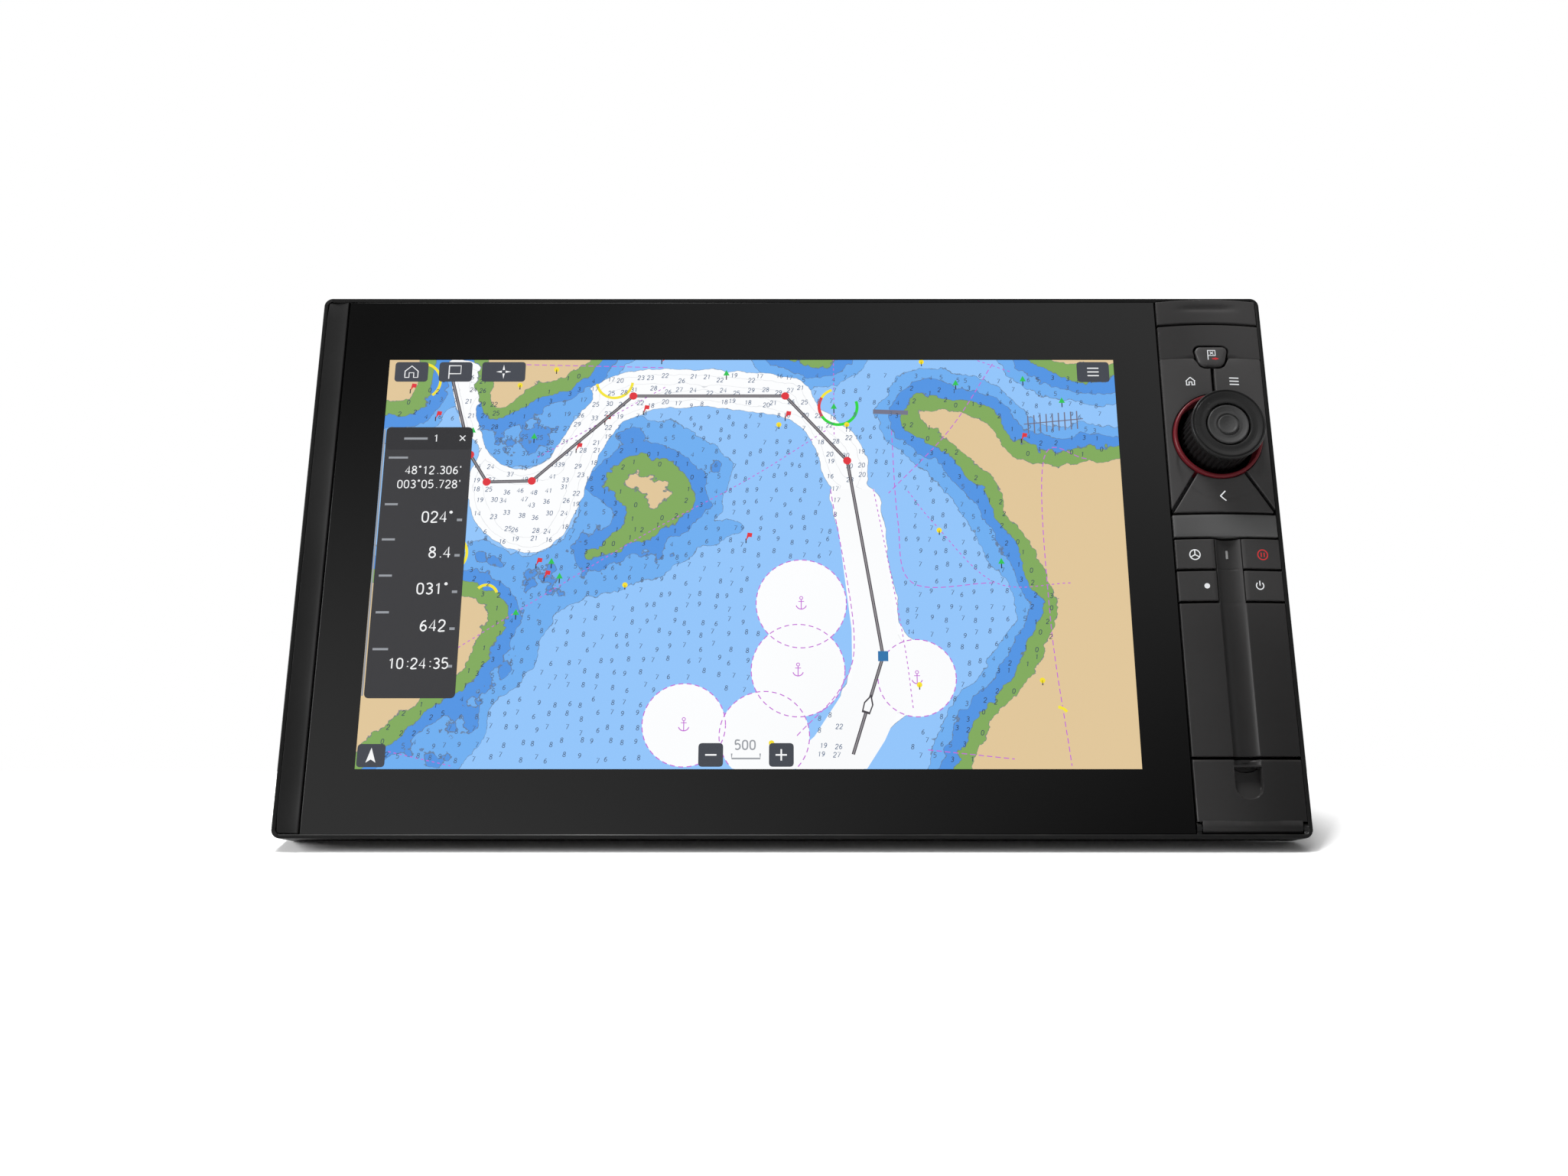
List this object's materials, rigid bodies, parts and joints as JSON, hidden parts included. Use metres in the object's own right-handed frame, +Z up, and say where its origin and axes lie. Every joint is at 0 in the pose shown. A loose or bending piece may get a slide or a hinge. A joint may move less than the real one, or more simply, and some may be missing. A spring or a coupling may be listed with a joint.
{
  "type": "chartplotter display",
  "caption": "Flush-mounted marine chartplotter with a wide bonded touch screen, a column of keys, a tilting rotary knob and a hinged card door.",
  "frame": {"origin": "centre of the corner mounting holes, in the seat plane where the panel gasket meets the console", "axes": "+X along the width to the right seen from the front, +Y into the console, +Z up; the screen faces -Y"},
  "size_m": [0.452, 0.0999, 0.2566],
  "materials": {
    "bezel_plastic": "fine satin moulded texture",
    "column_plastic": "satin moulded plastic",
    "plate_plastic": "satin grey plastic",
    "key_plastic": "satin plastic with printed icons",
    "cover_glass": "bonded anti-glare glass",
    "black_print": "black printed border",
    "clear_gel": "clear bonding gel",
    "display_cell": "lit chart picture",
    "sheet_steel": "zinc-plated sheet",
    "cast_paint": "powder-coated aluminium casting",
    "black_rubber": "moulded rubber",
    "grey_rubber": "silicone rubber",
    "knob_plastic": "satin plastic",
    "red_light": "dim red translucent ring",
    "grey_light": "clear grey light pipe",
    "circuit_board": "green solder mask",
    "chip_black": "moulded chip packages",
    "pad_grey": "thermal gap pad",
    "component_blue": "sleeved components",
    "bright_steel": "stainless steel",
    "brass": "turned brass",
    "aluminium": "machined aluminium",
    "antenna_ceramic": "ceramic patch",
    "connector_plastic": "glass-filled nylon",
    "flat_cable": "amber polyimide film"
  },
  "bodies": {
    "root": {"front_bezel": "bezel_plastic", "panel_gasket": "black_rubber", "rear_housing": "cast_paint", "cooling_fins": "cast_paint", "housing_seal": "grey_rubber", "cover_glass": "cover_glass", "glass_mask": "black_print", "optical_bond": "clear_gel", "lcd_cell": "display_cell", "backlight_unit": "sheet_steel", "chassis_plate": "aluminium", "keypad_frame": "column_plastic", "lower_fascia": "column_plastic", "name_plate": "plate_plastic", "indicator_light": "grey_light", "light_ring": "red_light", "keymat": "grey_rubber", "keypad_board": "circuit_board", "tact_switches": "chip_black", "joystick_base": "aluminium", "knob_seal": "black_rubber", "door_pin": "bright_steel", "card_sockets": "bright_steel", "card_board": "circuit_board", "main_board": "circuit_board", "board_chips": "chip_black", "thermal_pad": "pad_grey", "power_board": "circuit_board", "power_components": "component_blue", "connector_board": "circuit_board", "gps_antenna": "antenna_ceramic", "wifi_antenna": "circuit_board", "buzzer": "chip_black", "pressure_vent": "connector_plastic", "ribbon_cables": "flat_cable", "power_connector": "connector_plastic", "network_connectors": "connector_plastic", "bus_connectors": "connector_plastic", "sonar_connectors": "connector_plastic", "case_screws": "bright_steel", "board_screws": "bright_steel"},
    "waypoint_key": {"waypoint_key": "key_plastic"},
    "home_key": {"home_key": "key_plastic"},
    "menu_key": {"menu_key": "key_plastic"},
    "back_key": {"back_key": "key_plastic"},
    "pilot_key": {"pilot_key": "key_plastic"},
    "standby_key": {"standby_key": "key_plastic"},
    "user_key": {"user_key": "key_plastic"},
    "power_key": {"power_key": "key_plastic"},
    "tilt_ring": {"gimbal_ring": "aluminium"},
    "tilt_hub": {"gimbal_hub": "brass"},
    "shaft": {"knob_shaft": "bright_steel"},
    "knob": {"knob_core": "knob_plastic", "knob_grip": "black_rubber", "knob_cap": "knob_plastic", "knob_button": "knob_plastic"},
    "door": {"card_door": "column_plastic", "door_gasket": "black_rubber"},
    "trim": {"left_trim": "bezel_plastic"},
    "cap": {"top_cap": "column_plastic"}
  },
  "joints": [
    {"name": "waypoint_press", "type": "slide", "parent": "root", "child": "waypoint_key", "axis": [0, 1, 0], "range_m": [0, 0.0008], "stiffness_N_per_m": 900},
    {"name": "home_press", "type": "slide", "parent": "root", "child": "home_key", "axis": [0, 1, 0], "range_m": [0, 0.0008], "stiffness_N_per_m": 900},
    {"name": "menu_press", "type": "slide", "parent": "root", "child": "menu_key", "axis": [0, 1, 0], "range_m": [0, 0.0008], "stiffness_N_per_m": 900},
    {"name": "back_press", "type": "slide", "parent": "root", "child": "back_key", "axis": [0, 1, 0], "range_m": [0, 0.0008], "stiffness_N_per_m": 900},
    {"name": "pilot_press", "type": "slide", "parent": "root", "child": "pilot_key", "axis": [0, 1, 0], "range_m": [0, 0.0008], "stiffness_N_per_m": 900},
    {"name": "standby_press", "type": "slide", "parent": "root", "child": "standby_key", "axis": [0, 1, 0], "range_m": [0, 0.0008], "stiffness_N_per_m": 900},
    {"name": "user_press", "type": "slide", "parent": "root", "child": "user_key", "axis": [0, 1, 0], "range_m": [0, 0.0008], "stiffness_N_per_m": 900},
    {"name": "power_press", "type": "slide", "parent": "root", "child": "power_key", "axis": [0, 1, 0], "range_m": [0, 0.0008], "stiffness_N_per_m": 900},
    {"name": "knob_tilt_up_down", "type": "hinge", "parent": "root", "child": "tilt_ring", "pos_m": [0.2, -0.0095, 0.0567], "axis": [1, 0, 0], "range_deg": [-4, 4], "stiffness_Nm_per_rad": 1},
    {"name": "knob_tilt_left_right", "type": "hinge", "parent": "tilt_ring", "child": "tilt_hub", "pos_m": [0.2, -0.0095, 0.0567], "axis": [0, 0, 1], "range_deg": [-4, 4], "stiffness_Nm_per_rad": 1},
    {"name": "knob_press", "type": "slide", "parent": "tilt_hub", "child": "shaft", "axis": [0, 1, 0], "range_m": [0, 0.0008], "stiffness_N_per_m": 1500},
    {"name": "knob_turn", "type": "hinge", "parent": "shaft", "child": "knob", "pos_m": [0.2, -0.025, 0.0567], "axis": [0, -1, 0], "continuous": true},
    {"name": "door_hinge", "type": "hinge", "parent": "root", "child": "door", "pos_m": [0.2, -0.0176, -0.1237], "axis": [1, 0, 0], "range_deg": [0, 75]},
    {"name": "trim_pull", "type": "slide", "parent": "root", "child": "trim", "axis": [0, -1, 0], "range_m": [0, 0.012]},
    {"name": "cap_pull", "type": "slide", "parent": "root", "child": "cap", "axis": [0, -1, 0], "range_m": [0, 0.012]}
  ]
}
